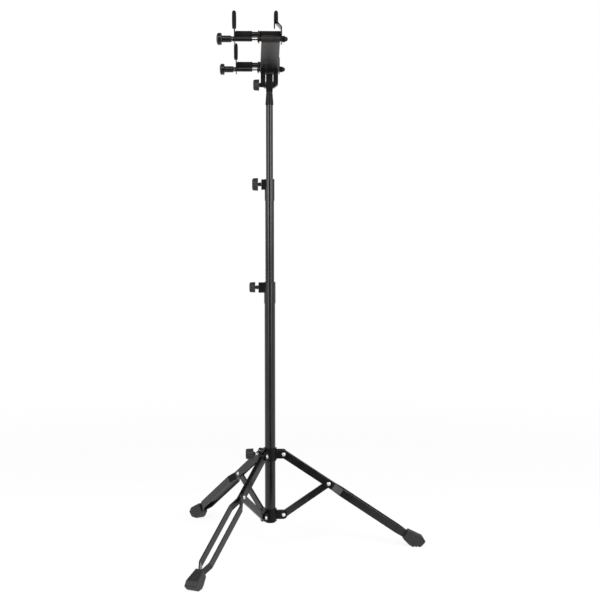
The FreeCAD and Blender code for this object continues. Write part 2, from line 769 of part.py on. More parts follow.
def make_arm():
    # sheet arm whose two ends are rolled up round the clamp tubes
    label = "arm"
    body = new_body(label)
    inner = size("clamp_tube_dia") / 2
    outer = inner + size("arm_sheet")
    height = size("rod_height")
    far = size("far_rod")
    near = far - size("rod_spacing")
    mouth = size("arm_mouth_deg")
    openFrom = math.radians(mouth)
    openTo = math.radians(180 - mouth)
    sketch = new_sketch(body, "YZ_Plane", label + "_profile")
    sketch.addGeometry(Part.LineSegment(Vector(near, height - outer, 0), Vector(far, height - outer, 0)))
    draw_arc(sketch, far, height, outer, -90, 180 - mouth)
    farTip = Vector(math.cos(openTo), math.sin(openTo), 0)
    farAxis = Vector(far, height, 0)
    sketch.addGeometry(Part.LineSegment(farAxis + farTip * outer, farAxis + farTip * inner))
    draw_arc(sketch, far, height, inner, -90, 180 - mouth)
    sketch.addGeometry(Part.LineSegment(Vector(far, height - inner, 0), Vector(near, height - inner, 0)))
    draw_arc(sketch, near, height, inner, mouth, 270)
    nearTip = Vector(math.cos(openFrom), math.sin(openFrom), 0)
    nearAxis = Vector(near, height, 0)
    sketch.addGeometry(Part.LineSegment(nearAxis + nearTip * inner, nearAxis + nearTip * outer))
    draw_arc(sketch, near, height, outer, mouth, 270)
    add_pad(body, sketch, label + "_sheet", size("arm_width"), bound="arm_width")
    sides = new_sketch(body, "XY_Plane", label + "_taper_outline")
    wide = size("arm_width") / 2
    narrow = size("arm_tip_width") / 2
    end = near - outer
    for side in (-1, 1):
        draw_outline(sides, ((side * wide, far), (side * narrow, end), (side * narrow, end - trimOver),
                             (side * (wide + trimOver), end - trimOver), (side * (wide + trimOver), far)))
    add_cut(body, sides, label + "_taper")
    holes = new_sketch(body, "XY_Plane", label + "_hole_outline")
    for side in (-1, 1):
        draw_circle(holes, side * size("arm_screw_side"), armScrewBack, size("arm_screw_dia") / 2)
    add_cut(body, holes, label + "_holes")
    return body


def make_arm_screws():
    # two pan head screws whose shanks fill the holes of the sheet, down to the yoke
    top = size("rod_height") - size("clamp_tube_dia") / 2
    low = -size("arm_sheet")
    shank = size("arm_screw_dia") / 2
    head = size("arm_screw_head") / 2
    points = ((0, low), (shank, low), (shank, 0), (head, 0), (head, size("arm_screw_rim")),
              (size("arm_screw_face") / 2, size("arm_screw_shoulder")), (0, size("arm_screw_crown")))
    items = []
    for number, side in enumerate((-1, 1), start=1):
        screw = turned("arm_screw_%d" % number, points)
        screw.Placement = in_head(Vector(side * size("arm_screw_side"), armScrewBack, top))
        items.append(screw)
    return keep_group("arm_screws", items)


# Padded cradles across the two ends of the arm, drawn about the clamp rod with X along the bar

# the fixed hook stands just beside the edge of the arm
fixedHookX = size("arm_width") / 2 + size("side_gap") + size("hook_sheet") / 2
hookMiddle = size("rest_back") / 2 - size("hook_set")
# the corner of a pad's top and of a foam sleeve's ends, as shares of what they round off
padCrownShare = 0.55
foamEdgeShare = 0.6


def make_clamp_tube(label):
    body = new_body(label)
    outer = size("clamp_tube_dia") / 2
    bore = size("slide_rod_dia") / 2 + size("turn_gap")
    start = size("link_x") - size("bead_lead")
    end = fixedHookX + size("hook_sheet") / 2
    bead = start + size("bead_run")
    rim = outer + size("bead_rise")
    sketch = new_sketch(body, "XZ_Plane", label + "_profile")
    draw_outline(sketch, ((start, bore), (start, rim), (bead, rim), (bead, outer), (end, outer), (end, bore)))
    add_turn(body, sketch, label + "_tube", "H_Axis")
    link = new_sketch(body, "YZ_Plane", label + "_link_outline", size("link_x"))
    back = size("rest_back")
    up = size("rest_up")
    ring = size("rest_foam_dia") / 2 - size("side_gap")
    below = size("link_below")
    edge = size("link_edge")
    corner = size("link_corner")
    draw_outline(link, ((edge - below, -below), (size("link_foot"), -below), (back + ring, up - corner),
                        (back + ring, up + corner), (back + corner, up + ring), (back - corner, up + ring),
                        (-below, size("link_face")), (-below, edge - below)))
    add_pad(body, link, label + "_link", size("hook_sheet"), bound="hook_sheet")
    through = new_sketch(body, "YZ_Plane", label + "_bore_outline")
    draw_circle(through, 0, 0, bore)
    draw_circle(through, back, up, size("rest_rod_dia") / 2 + size("turn_gap"))
    add_cut(body, through, label + "_bore")
    return body


def hook_outline(sketch, footX, padX, low, high, foot, top, thick):
    half = thick / 2
    draw_outline(sketch, ((footX - half, foot), (footX + half, foot), (footX + half, low),
                          (padX + half, high), (padX + half, top), (padX - half, top),
                          (padX - half, high), (footX - half, low)))


def make_hook(label, footX, padX, low, high, barEnd, barRadius, barBore):
    body = new_body(label)
    strip = new_sketch(body, "XZ_Plane", label + "_strip_outline", -hookMiddle)
    hook_outline(strip, footX, padX, low, high, -size("hook_tail"), size("hook_top"), size("hook_sheet"))
    add_pad(body, strip, label + "_strip", size("hook_width"), bound="hook_width")
    start = min(footX, barEnd)
    length = abs(barEnd - footX)
    bar = new_sketch(body, "YZ_Plane", label + "_bar_outline", start)
    draw_circle(bar, size("rest_back"), size("rest_up"), barRadius)
    add_pad(body, bar, label + "_bar", length, both=False)
    if barBore:
        bore = new_sketch(body, "YZ_Plane", label + "_bore_outline", start + length - size("rest_end_wall"))
        draw_circle(bore, size("rest_back"), size("rest_up"), barBore)
        add_cut(body, bore, label + "_bore", length, both=False)
    hole = new_sketch(body, "YZ_Plane", label + "_hole_outline")
    draw_circle(hole, 0, 0, size("clamp_tube_dia") / 2)
    add_cut(body, hole, label + "_hole")
    return body


def make_pad(label, footX, padX, low, high, skin=0):
    # skin is the foam left on the inner face below the bend, where the hook runs out of the pad
    body = new_body(label)
    half = size("pad_thick") / 2
    foot = size("pad_foot")
    top = size("pad_top")
    sketch = new_sketch(body, "XZ_Plane", label + "_outline", -hookMiddle)
    draw_outline(sketch, ((padX - half, foot), (padX + half, foot), (padX + half, top), (padX - half, top)))
    block = add_pad(body, sketch, label + "_block", size("pad_width"), bound="pad_width")

    def upright(edge):
        ends = [vertex.Point for vertex in edge.Vertexes]
        return abs(ends[0].z - ends[1].z) > top - foot - pickGap

    rounded = round_edges(body, block, label + "_round", half - size("pad_flat"), upright)

    def top_rim(edge):
        return all(vertex.Point.z > top - pickGap for vertex in edge.Vertexes)

    round_edges(body, rounded, label + "_crown", half * padCrownShare, top_rim)
    slot = new_sketch(body, "XZ_Plane", label + "_slot_outline", -hookMiddle)
    hook_outline(slot, footX, padX, low, high, -size("hook_tail"), size("hook_top"), size("hook_sheet"))
    add_cut(body, slot, label + "_slot", size("hook_width"))
    if skin:
        heel = new_sketch(body, "XZ_Plane", label + "_heel_outline", -hookMiddle)
        inner = padX - half + skin
        outside = padX + half + cutOver
        below = foot - cutOver
        draw_outline(heel, ((inner, below), (outside, below), (outside, high), (inner, high)))
        add_cut(body, heel, label + "_heel", size("pad_width") + 2 * cutOver)
    return body


def make_foam(label, start, end, bore):
    outer = size("rest_foam_dia") / 2
    edge = (outer - bore) * foamEdgeShare
    body = turned(label, ((start, bore), (start, outer - edge), (start + edge, outer), (end - edge, outer),
                          (end, outer - edge), (end, bore)), "H_Axis")
    return body


# the flat middle of a handle's face as a share of its flange's radius
handleFaceShare = 0.6


def make_handle(label, end):
    # hand screw with a round flange, end is its inner face on the rod
    disc = size("handle_disc_dia") / 2
    grip = size("handle_dia") / 2
    bore = size("slide_rod_dia") / 2 + size("turn_gap")
    start = end - size("handle_length")
    flange = start + size("handle_disc")
    edge = size("handle_edge")
    holeEnd = start + size("handle_end_wall")
    points = ((start, 0), (start + size("handle_face"), disc * handleFaceShare),
              (start + size("handle_shoulder"), disc - size("handle_shoulder_edge")),
              (start + size("handle_crown"), disc), (flange - edge, disc), (flange, disc - edge),
              (flange, grip), (end - size("handle_nose_run"), grip), (end, grip - size("handle_nose")),
              (end, bore), (holeEnd, bore), (holeEnd, 0))
    return turned(label, points, "H_Axis")


# the hexagon's part of an end cap's length, and the radii of its dome as shares of half the flats
capHexShare = 0.5
capShoulderShare = 0.72
capTipShare = 0.35
capSides = 6


def make_end_cap(label):
    start = fixedHookX + size("hook_sheet") / 2
    across = size("cap_across") / 2
    corner = across / math.cos(math.pi / capSides)
    body = new_body(label)
    hexagon = new_sketch(body, "YZ_Plane", label + "_hex_outline", start)
    angles = [2 * math.pi * step / capSides for step in range(capSides)]
    draw_outline(hexagon, [(corner * math.cos(angle), corner * math.sin(angle)) for angle in angles])
    add_pad(body, hexagon, label + "_hex", size("cap_length") * capHexShare, both=False)
    dome = new_sketch(body, "XZ_Plane", label + "_dome_profile")
    foot = start + size("cap_lap")
    base = start + size("cap_length") * capHexShare
    end = start + size("cap_length")
    radius = across - size("cap_dome_set")
    draw_outline(dome, ((foot, 0), (foot, radius), (base, radius),
                        (end - size("cap_crown"), across * capShoulderShare), (end, across * capTipShare),
                        (end, 0)))
    add_turn(body, dome, label + "_dome", "H_Axis")
    return body


def make_cradle(prefix, rodBack, caps):
    spot = in_head(Vector(0, rodBack, size("rod_height")))
    restSpot = in_head(Vector(0, rodBack + size("rest_back"), size("rod_height") + size("rest_up")))
    fixedX = fixedHookX
    sliderX = size("sliding_hook_x")
    low = size("hook_bend_low")
    high = size("hook_bend_high")
    sliderLow = low - size("sliding_bend_drop")
    sliderHigh = high - size("sliding_bend_drop")
    tubeBore = size("rest_rod_dia") / 2 + size("turn_gap")
    linkFace = size("link_x") + size("hook_sheet") / 2
    hookFace = fixedX - size("hook_sheet") / 2
    sliderFace = sliderX + size("hook_sheet") / 2
    endGap = size("end_gap")
    keep(make_clamp_tube(prefix + "_clamp_tube"), spot)
    keep(make_hook(prefix + "_fixed_hook", fixedX, size("fixed_pad_x"), low, high,
                   linkFace, size("rest_tube_dia") / 2, tubeBore), spot)
    keep(make_pad(prefix + "_fixed_pad", fixedX, size("fixed_pad_x"), low, high, size("pad_skin")), spot)
    keep(make_foam(prefix + "_fixed_rest_foam", linkFace + endGap, hookFace - endGap,
                   size("rest_tube_dia") / 2), restSpot)
    handleFace = sliderX - size("handle_set")
    tubeRadius = size("clamp_tube_dia") / 2
    rodRadius = size("slide_rod_dia") / 2
    tubeStart = handleFace + endGap
    tubeEnd = size("slide_tube_end")
    keep(turned(prefix + "_slide_tube", ((tubeStart, rodRadius), (tubeStart, tubeRadius),
                                         (tubeEnd, tubeRadius), (tubeEnd, rodRadius)), "H_Axis"), spot)
    rodStart = handleFace - size("handle_length") + size("handle_end_wall") + size("rod_gap")
    rodEnd = fixedX - size("rod_short")
    rodEdge = size("rod_edge")
    keep(turned(prefix + "_slide_rod", ((rodStart, 0), (rodStart, rodRadius), (rodEnd - rodEdge, rodRadius),
                                        (rodEnd, rodRadius - rodEdge), (rodEnd, 0)), "H_Axis"), spot)
    restRadius = size("rest_rod_dia") / 2
    keep(make_hook(prefix + "_sliding_hook", sliderX, size("sliding_pad_x"), sliderLow, sliderHigh,
                   size("slide_rest_end"), restRadius, None), spot)
    keep(make_pad(prefix + "_sliding_pad", sliderX, size("sliding_pad_x"), sliderLow, sliderHigh), spot)
    keep(make_foam(prefix + "_sliding_rest_foam", sliderFace + endGap, tubeEnd, restRadius), restSpot)
    keep(make_handle(prefix + "_handle", handleFace), spot)
    cap = make_end_cap(prefix + "_end_cap")
    cap.Placement = spot
    caps.append(cap)


# Build the pole
keep(make_tube("lower_tube", lowerRadius, lowerTubeFoot, size("lower_clutch_foot") + size("clutch_grip")))
keep(make_plug())
keep(make_tube("mid_tube", midRadius, size("mid_tube_foot"), size("upper_clutch_foot") + size("clutch_grip")))
keep(make_guide("mid_guide", midRadius, lowerRadius, size("mid_tube_foot")))
keep(make_tube("upper_tube", upperRadius, size("upper_tube_foot"), size("post_foot") + size("post_socket")))
keep(make_guide("upper_guide", upperRadius, midRadius, size("upper_tube_foot")))
keep(make_clutch("lower_clutch", size("lower_clutch_foot"), lowerRadius, midRadius, size("lower_boss_reach")))
keep(make_bush("lower_bush", size("lower_clutch_foot"), lowerRadius, midRadius))
lowerBoss = lowerRadius + size("clutch_wall") + size("lower_boss_reach")
place_knob("lower_clutch", size("lower_knob_dia"), lowerRadius + size("screw_tip_gap"),
           lowerBoss + size("knob_stand"), lowerScrewHeight, size("knob_length"), clutchNeck)
keep(make_clutch("upper_clutch", size("upper_clutch_foot"), midRadius, upperRadius, size("upper_boss_reach")))
keep(make_bush("upper_bush", size("upper_clutch_foot"), midRadius, upperRadius))
upperBoss = midRadius + size("clutch_wall") + size("upper_boss_reach")
place_knob("upper_clutch", size("upper_knob_dia"), midRadius + size("screw_tip_gap"),
           upperBoss + size("knob_stand"), upperScrewHeight, size("knob_length"), clutchNeck)

# Build the tripod
earGap = barInner + size("bar_thick") + size("side_gap")
keep(make_collar("leg_collar", collarPivot, lowerRadius + size("slide_gap"), earGap, True))
keep(make_collar("base_collar", basePivot, lowerRadius, barInner, False))
lockBack = lowerRadius + size("lock_reach") + size("lock_stand")
place_knob("leg_lock", size("lock_knob_dia"), lowerRadius + size("lock_tip_gap"), lockBack,
           legScrewHeight, size("lock_knob_length"), lockNeck)
collarRivets = []
baseRivets = []
for legName, legAngle in legNames:
    barA = make_leg_bar(legName + "_bar_a", -1)
    barB = make_leg_bar(legName + "_bar_b", 1)
    barSpot = lay(Vector(size("pivot_reach"), 0, collarPivot), ((axisY, size("leg_slope_deg")),))
    legSpot = spin(legAngle).multiply(barSpot)
    barA.Placement = legSpot
    barB.Placement = legSpot
    keep_group(legName + "_leg_bars", [barA, barB])
    strutSpot = lay(Vector(size("pivot_reach"), 0, basePivot), ((axisY, -size("leg_slope_deg")),))
    keep(make_strut(legName + "_strut"), spin(legAngle).multiply(strutSpot))
    keep(make_foot(legName + "_foot"), spin(legAngle))
    legRivet = make_rivet(legName + "_leg_rivet", 2 * (barInner + size("bar_thick")))
    keep(place_rivet(legRivet, legAngle, midReach, midPivot))
    collarRivet = make_rivet("collar_rivet_" + legName, 2 * (earGap + size("cheek")))
    collarRivets.append(place_rivet(collarRivet, legAngle, size("pivot_reach"), collarPivot))
    baseRivet = make_rivet("base_rivet_" + legName, 2 * (barInner + size("cheek")))
    baseRivets.append(place_rivet(baseRivet, legAngle, size("pivot_reach"), basePivot))
keep_group("collar_rivets", collarRivets)
keep_group("base_rivets", baseRivets)

# Build the head
keep(make_post())
keep(make_yoke(), tiltSpot)
keep(make_arm(), tiltSpot)
make_arm_screws()
tiltKnob = make_knob("tilt_knob", size("tilt_knob_dia"), size("knob_length"), None)
tiltBack = size("yoke_width") / 2 + size("knob_boss") + size("side_gap")
tiltBolt = make_screw("tilt_bolt", tiltBack + size("yoke_width") / 2 - size("bolt_end"))
keep(tiltKnob, in_head(Vector(-tiltBack, 0, 0), ((axisY, -90),)))
keep(tiltBolt, in_head(Vector(-tiltBack, 0, 0), ((axisY, -90),)))
endCaps = []
make_cradle("near", size("far_rod") - size("rod_spacing"), endCaps)
make_cradle("far", size("far_rod"), endCaps)
keep_group("end_caps", endCaps)

# Check every solid and write one file per sub-part
doc.recompute()
for item in doc.Objects:
    if "Invalid" in item.State or "Error" in item.State:
        raise RuntimeError("not built: " + item.Name)
os.makedirs("parts", exist_ok=True)
for item in nodes:
    shape = item.Shape
    if shape.isNull() or not shape.isValid():
        raise RuntimeError("bad shape: " + item.Label)
    shape.exportStep("parts/" + item.Label + ".step")
    print(item.Label, len(shape.Solids), round(shape.Volume))
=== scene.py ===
import json
import math

import bpy
import numpy as np
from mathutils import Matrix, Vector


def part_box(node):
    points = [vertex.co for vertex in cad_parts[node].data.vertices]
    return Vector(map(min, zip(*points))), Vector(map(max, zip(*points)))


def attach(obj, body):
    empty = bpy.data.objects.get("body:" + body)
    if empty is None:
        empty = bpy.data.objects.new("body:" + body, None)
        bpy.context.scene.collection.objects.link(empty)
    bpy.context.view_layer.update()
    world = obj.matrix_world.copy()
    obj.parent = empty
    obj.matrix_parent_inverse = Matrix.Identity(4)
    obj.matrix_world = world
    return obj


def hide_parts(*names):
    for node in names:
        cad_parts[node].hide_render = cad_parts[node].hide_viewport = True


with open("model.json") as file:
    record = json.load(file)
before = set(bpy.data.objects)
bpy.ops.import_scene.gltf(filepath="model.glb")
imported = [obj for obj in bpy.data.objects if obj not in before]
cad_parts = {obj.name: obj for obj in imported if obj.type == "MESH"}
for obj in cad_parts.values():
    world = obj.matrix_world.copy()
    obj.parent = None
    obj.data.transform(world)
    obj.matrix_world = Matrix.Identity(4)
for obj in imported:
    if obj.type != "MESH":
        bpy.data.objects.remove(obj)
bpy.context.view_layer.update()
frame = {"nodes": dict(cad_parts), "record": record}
nodes = frame["nodes"]
scene = bpy.context.scene
scene.view_settings.view_transform = "Standard"
print("frame loaded:", len(nodes), "nodes")

mm = 0.001


def hexColour(text):
    # sRGB hex to linear: divide by 12.92 near black, otherwise a 2.4 power curve
    channels = np.array([int(text[i:i + 2], 16) for i in (1, 3, 5)]) / 255
    linear = np.where(channels <= 0.04045, channels / 12.92, ((channels + 0.055) / 1.055) ** 2.4)
    return (*[float(c) for c in linear], 1.0)


def addNode(tree, kind, values=None, links=None, **settings):
    node = tree.nodes.new(kind)
    for key, value in settings.items():
        setattr(node, key, value)
    for key, value in (values or {}).items():
        node.inputs[key].default_value = value
    for key, socket in (links or {}).items():
        tree.links.new(socket, node.inputs[key])
    return node


def perMetre(sizeMm):
    # pattern scale for one feature of that size in millimetres
    return 1.0 / (sizeMm * mm)


def startFinish(name, **values):
    material = bpy.data.materials.new(name)
    material.use_nodes = True
    tree = material.node_tree
    shader = tree.nodes["Principled BSDF"]
    for key, value in values.items():
        shader.inputs[key.replace("_", " ")].default_value = value
    place = addNode(tree, "ShaderNodeTexCoord").outputs["Object"]
    return material, tree, shader, place


tintStops = (0.3, 0.7)  # levels of a pattern between which its colour changes


def tint(tree, shader, factor, low, high):
    # base colour runs from low to high with the factor
    ramp = addNode(tree, "ShaderNodeValToRGB", links={"Fac": factor})
    for stop, position, colour in zip(ramp.color_ramp.elements, tintStops, (low, high)):
        stop.position = position
        stop.color = hexColour(colour)
    tree.links.new(ramp.outputs["Color"], shader.inputs["Base Color"])


def sheen(tree, shader, factor, low, high):
    # roughness runs from low to high with the factor
    spread = addNode(tree, "ShaderNodeMapRange", {"To Min": low, "To Max": high}, {"Value": factor})
    tree.links.new(spread.outputs["Result"], shader.inputs["Roughness"])


def relief(tree, shader, height, depthMm, strength):
    # fine surface height that only tilts the light, as deep as given in millimetres
    bump = addNode(tree, "ShaderNodeBump", {"Strength": strength, "Distance": depthMm * mm},
                   {"Height": height})
    tree.links.new(bump.outputs["Normal"], shader.inputs["Normal"])


# baked powder coat on steel: near black with a faint orange peel, satin on tubes and struts,
# a little duller on the flat leg bars, matt on the sheet arm
paintLooks = {
    "satin_black_powder_coat": {"low": "#0c0c0d", "high": "#141416", "mottleMm": 22, "peelMm": 2.4,
                                "peelDepthMm": 0.006, "peelBump": 0.3, "roughLow": 0.13, "roughHigh": 0.19,
                                "gloss": 0.4},
    "dull_black_powder_coat": {"low": "#0c0c0d", "high": "#141416", "mottleMm": 22, "peelMm": 2.4,
                               "peelDepthMm": 0.006, "peelBump": 0.3, "roughLow": 0.15, "roughHigh": 0.21,
                               "gloss": 0.31},
    "matt_black_powder_coat": {"low": "#12100e", "high": "#191715", "mottleMm": 18, "peelMm": 1.6,
                               "peelDepthMm": 0.012, "peelBump": 0.3, "roughLow": 0.36, "roughHigh": 0.46,
                               "gloss": 0.31},
}


def paintFinish(name):
    look = paintLooks[name]
    material, tree, shader, place = startFinish(name, IOR=1.5, Specular_IOR_Level=look["gloss"])
    mottle = addNode(tree, "ShaderNodeTexNoise", {"Scale": perMetre(look["mottleMm"]), "Detail": 3.0},
                     {"Vector": place})
    peel = addNode(tree, "ShaderNodeTexNoise", {"Scale": perMetre(look["peelMm"]), "Detail": 1.0},
                   {"Vector": place})
    tint(tree, shader, mottle.outputs["Fac"], look["low"], look["high"])
    sheen(tree, shader, mottle.outputs["Fac"], look["roughLow"], look["roughHigh"])
    relief(tree, shader, peel.outputs["Fac"], look["peelDepthMm"], look["peelBump"])
    return material


# glass filled nylon: black with a fine even grain, flat as moulded and glossier on the clutch
# sleeves and the hand screws
mouldedLooks = {
    "moulded_black_nylon": {"low": "#070606", "high": "#0c0b0b", "cloudMm": 14, "grainMm": 0.7,
                            "grainDepthMm": 0.02, "grainBump": 0.7, "roughLow": 0.34, "roughHigh": 0.44,
                            "gloss": 0.14},
    "polished_black_nylon": {"low": "#0c0c0d", "high": "#121213", "cloudMm": 14, "grainMm": 0.9,
                             "grainDepthMm": 0.004, "grainBump": 0.7, "roughLow": 0.18, "roughHigh": 0.24,
                             "gloss": 0.4},
}


def mouldedFinish(name):
    look = mouldedLooks[name]
    material, tree, shader, place = startFinish(name, IOR=1.53, Specular_IOR_Level=look["gloss"])
    cloud = addNode(tree, "ShaderNodeTexNoise", {"Scale": perMetre(look["cloudMm"]), "Detail": 4.0},
                    {"Vector": place})
    grain = addNode(tree, "ShaderNodeTexNoise", {"Scale": perMetre(look["grainMm"]), "Detail": 2.0},
                    {"Vector": place})
    tint(tree, shader, cloud.outputs["Fac"], look["low"], look["high"])
    sheen(tree, shader, cloud.outputs["Fac"], look["roughLow"], look["roughHigh"])
    relief(tree, shader, grain.outputs["Fac"], look["grainDepthMm"], look["grainBump"])
    return material


# ABS with a spark eroded texture: charcoal grip knobs, a little lighter where hands rub
knobLook = {"low": "#121011", "high": "#1d1b1b", "rubMm": 9, "pitMm": 0.9, "pitDepthMm": 0.06,
            "pitBump": 0.6, "roughLow": 0.45, "roughHigh": 0.62}


def knobFinish():
    look = knobLook
    material, tree, shader, place = startFinish("spark_textured_abs", IOR=1.54, Specular_IOR_Level=0.35)
    rub = addNode(tree, "ShaderNodeTexNoise", {"Scale": perMetre(look["rubMm"]), "Detail": 3.0},
                  {"Vector": place})
    pits = addNode(tree, "ShaderNodeTexVoronoi", {"Scale": perMetre(look["pitMm"])}, {"Vector": place})
    tint(tree, shader, rub.outputs["Fac"], look["low"], look["high"])
    sheen(tree, shader, rub.outputs["Fac"], look["roughLow"], look["roughHigh"])
    relief(tree, shader, pits.outputs["Distance"], look["pitDepthMm"], look["pitBump"])
    return material


# unfilled acetal for the inner sleeves: smooth, waxy dark grey
acetalLook = {"low": "#262627", "high": "#2f2f31", "cloudMm": 8, "roughLow": 0.34, "roughHigh": 0.44}


def acetalFinish():
    look = acetalLook
    material, tree, shader, place = startFinish("turned_dark_acetal", IOR=1.48)
    cloud = addNode(tree, "ShaderNodeTexNoise", {"Scale": perMetre(look["cloudMm"]), "Detail": 2.0},
                    {"Vector": place})
    tint(tree, shader, cloud.outputs["Fac"], look["low"], look["high"])
    sheen(tree, shader, cloud.outputs["Fac"], look["roughLow"], look["roughHigh"])
    return material


# bright nickel plate on steel rivets and screws: clean metal with a fine set mark
nickelLook = {"low": "#cfcecb", "high": "#efeeea", "stainMm": 6, "markMm": 0.8, "markDepthMm": 0.02,
              "markBump": 0.4, "roughLow": 0.36, "roughHigh": 0.48}


def nickelFinish():
    look = nickelLook
    material, tree, shader, place = startFinish("bright_nickel_plate", Metallic=1.0)
    stain = addNode(tree, "ShaderNodeTexNoise", {"Scale": perMetre(look["stainMm"]), "Detail": 4.0},
                    {"Vector": place})
    marks = addNode(tree, "ShaderNodeTexNoise", {"Scale": perMetre(look["markMm"]), "Detail": 1.0},
                    {"Vector": place})
    tint(tree, shader, stain.outputs["Fac"], look["low"], look["high"])
    sheen(tree, shader, stain.outputs["Fac"], look["roughLow"], look["roughHigh"])
    relief(tree, shader, marks.outputs["Fac"], look["markDepthMm"], look["markBump"])
    return material


# polished hard chrome on the slide rods: mirror with faint turning rings along X, drawn 6.9 mm
# apart so that they show
chromeLook = {"low": "#d8d8d6", "high": "#efefed", "smearMm": 12, "ringMm": 6.9115, "ringDepthMm": 0.004,
              "ringBump": 0.3, "roughLow": 0.06, "roughHigh": 0.14}
waveTurn = 2 * math.pi / 20  # the wave pattern repeats after this length at a scale of 1


def chromeFinish():
    look = chromeLook
    material, tree, shader, place = startFinish("polished_hard_chrome", Metallic=1.0)
    smear = addNode(tree, "ShaderNodeTexNoise", {"Scale": perMetre(look["smearMm"]), "Detail": 3.0},
                    {"Vector": place})
    rings = addNode(tree, "ShaderNodeTexWave",
                    {"Scale": perMetre(look["ringMm"]) * waveTurn, "Distortion": 0.3},
                    {"Vector": place}, wave_type="BANDS", bands_direction="X")
    tint(tree, shader, smear.outputs["Fac"], look["low"], look["high"])
    sheen(tree, shader, smear.outputs["Fac"], look["roughLow"], look["roughHigh"])
    relief(tree, shader, rings.outputs["Fac"], look["ringDepthMm"], look["ringBump"])
    return material


# moulded natural rubber feet: matt black with a dusty bloom
rubberLook = {"low": "#0c0c0c", "high": "#1e1e1e", "bloomMm": 11, "grainMm": 1.1, "grainDepthMm": 0.05,
              "grainBump": 0.7, "roughLow": 0.48, "roughHigh": 0.70}


def rubberFinish():
    look = rubberLook
    material, tree, shader, place = startFinish("moulded_black_rubber", IOR=1.52, Specular_IOR_Level=0.42)
    bloom = addNode(tree, "ShaderNodeTexNoise", {"Scale": perMetre(look["bloomMm"]), "Detail": 5.0},
                    {"Vector": place})
    grain = addNode(tree, "ShaderNodeTexNoise", {"Scale": perMetre(look["grainMm"]), "Detail": 2.0},
                    {"Vector": place})
    tint(tree, shader, bloom.outputs["Fac"], look["low"], look["high"])
    sheen(tree, shader, bloom.outputs["Fac"], look["roughLow"], look["roughHigh"])
    relief(tree, shader, grain.outputs["Fac"], look["grainDepthMm"], look["grainBump"])
    return material


# closed cell EVA foam: dull black with small cells, drawn at 1.3 mm so that they show
foamLook = {"low": "#080706", "high": "#110f0e", "cellMm": 1.3, "cellDepthMm": 0.12, "cellBump": 0.8,
            "pressMm": 10, "roughLow": 0.82, "roughHigh": 0.95}


def foamFinish():
    look = foamLook
    material, tree, shader, place = startFinish("closed_cell_eva_foam", IOR=1.45, Specular_IOR_Level=0.2)
    press = addNode(tree, "ShaderNodeTexNoise", {"Scale": perMetre(look["pressMm"]), "Detail": 4.0},
                    {"Vector": place})
    cells = addNode(tree, "ShaderNodeTexVoronoi", {"Scale": perMetre(look["cellMm"])}, {"Vector": place})
    tint(tree, shader, press.outputs["Fac"], look["low"], look["high"])
    sheen(tree, shader, press.outputs["Fac"], look["roughLow"], look["roughHigh"])
    relief(tree, shader, cells.outputs["Distance"], look["cellDepthMm"], look["cellBump"])
    return material


finishes = {
    "black_paint": paintFinish("satin_black_powder_coat"),
    "black_plastic": mouldedFinish("moulded_black_nylon"),
    "knob_plastic": knobFinish(),
    "nylon": acetalFinish(),
    "nickel": nickelFinish(),
    "chrome": chromeFinish(),
    "rubber": rubberFinish(),
    "foam": foamFinish(),
}
for part in frame["record"]["subparts"]:
    mesh = nodes[part["node"]].data
    mesh.materials.clear()
    mesh.materials.append(finishes[part["material_slot"]])
nodes["arm"].data.materials[0] = paintFinish("matt_black_powder_coat")
barFinish = paintFinish("dull_black_powder_coat")
for leg in ("right", "rear", "front"):
    nodes[leg + "_leg_bars"].data.materials[0] = barFinish
sleeveFinish = mouldedFinish("polished_black_nylon")
for name in ("lower_clutch", "upper_clutch", "near_handle", "far_handle"):
    nodes[name].data.materials[0] = sleeveFinish
print("finishes set:", len(finishes))


def newPiece(name, vertices, faces):
    mesh = bpy.data.meshes.new(name)
    mesh.from_pydata(vertices.tolist(), [], faces)
    mesh.polygons.foreach_set("use_smooth", np.ones(len(mesh.polygons), bool))
    mesh.update()
    piece = bpy.data.objects.new(name, mesh)
    scene.collection.objects.link(piece)
    return piece


def closedTube(name, points):
    # faces of a grid that closes on itself both ways
    rows, columns = points.shape[:2]
    index = np.arange(rows * columns).reshape(rows, columns)
    right = np.roll(index, -1, axis=1)
    below = np.roll(index, -1, axis=0)
    corner = np.roll(right, -1, axis=0)
    quads = np.stack([index, right, corner, below], axis=-1).reshape(-1, 4)
    return newPiece(name, points.reshape(-1, 3), quads.tolist())


def closedBall(name, points, bottom, top):
    # rings from bottom to top with a fan of triangles at each pole
    rows, columns = points.shape[:2]
    index = np.arange(rows * columns).reshape(rows, columns)
    right = np.roll(index, -1, axis=1)
    quads = np.stack([index[:-1], right[:-1], right[1:], index[1:]], axis=-1).reshape(-1, 4)
    low, high = rows * columns, rows * columns + 1
    lowFan = np.stack([right[0], index[0], np.full(columns, low)], axis=-1)
    highFan = np.stack([index[-1], right[-1], np.full(columns, high)], axis=-1)
    vertices = np.vstack([points.reshape(-1, 3), [bottom, top]])
    return newPiece(name, vertices, quads.tolist() + lowFan.tolist() + highFan.tolist())


def nodeMiddle(name):
    low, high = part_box(name)
    return np.array((low + high) / 2)


# the head's own frame stands on the tilt bolt and leans back, which lifts the near bar
headLook = {"boltMm": 1176.0, "tiltDegrees": 9.6, "rodUpMm": 42.0, "rodBackMm": {"near": -270.0, "far": 10.0}}


def leanWithHead(points):
    # turn about X by the head's lean, then lift to the tilt bolt
    lean = math.radians(headLook["tiltDegrees"])
    turn = np.array([[1, 0, 0],
                     [0, math.cos(lean), math.sin(lean)],
                     [0, -math.sin(lean), math.cos(lean)]])
    return points @ turn.T + np.array((0, 0, headLook["boltMm"] * mm))


def signedPower(value, power):
    # power of the amount with its sign kept, which squares up a circle where the power is below 1
    return np.sign(value) * np.abs(value) ** power


